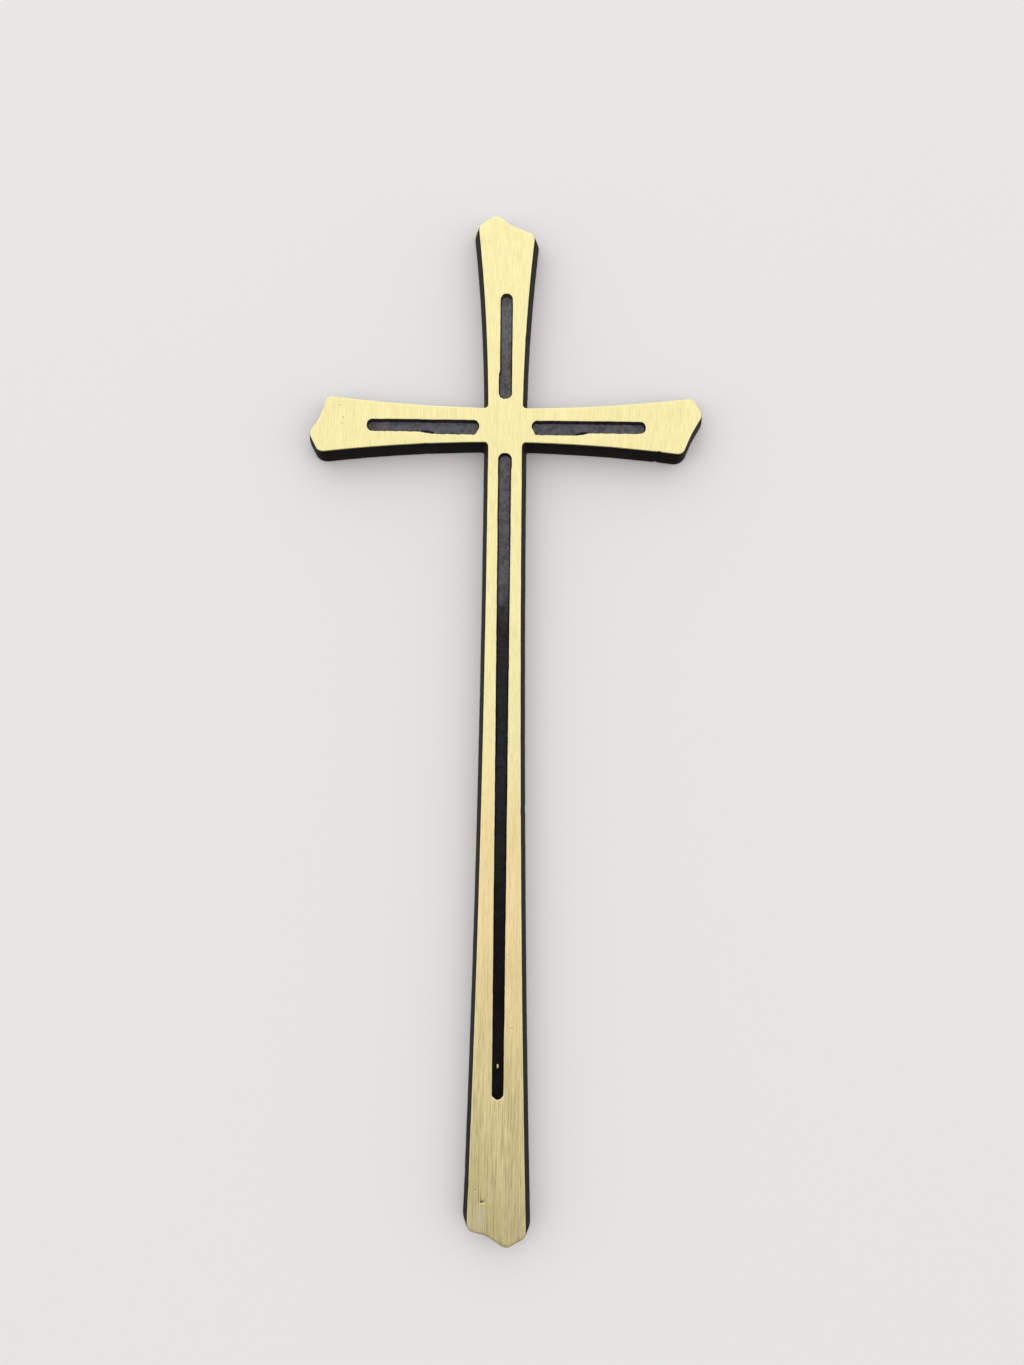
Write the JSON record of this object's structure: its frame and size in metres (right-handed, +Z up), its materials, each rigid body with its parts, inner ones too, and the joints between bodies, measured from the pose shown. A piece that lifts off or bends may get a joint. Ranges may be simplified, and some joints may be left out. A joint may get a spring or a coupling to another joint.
{
  "type": "grave cross",
  "caption": "Cast brass grave cross with flared, pointed limbs, a ground face, dark drafted sides, blind grooves and tapped fixing holes in its flat back.",
  "frame": {"origin": "on the flat back, midway between the two stud holes", "axes": "+Z runs up the long limb towards the short upper limb, +Y points out of the back towards the stone, and the ground face looks along -Y with +X to its right"},
  "size_m": [0.1539, 0.01, 0.3994],
  "materials": {
    "cast_brass": "face ground and brushed along the long limb; sides, back and groove floors left as cast under a dark brown-black patina"
  },
  "bodies": {
    "root": {"cross": "cast_brass"}
  },
  "joints": []
}
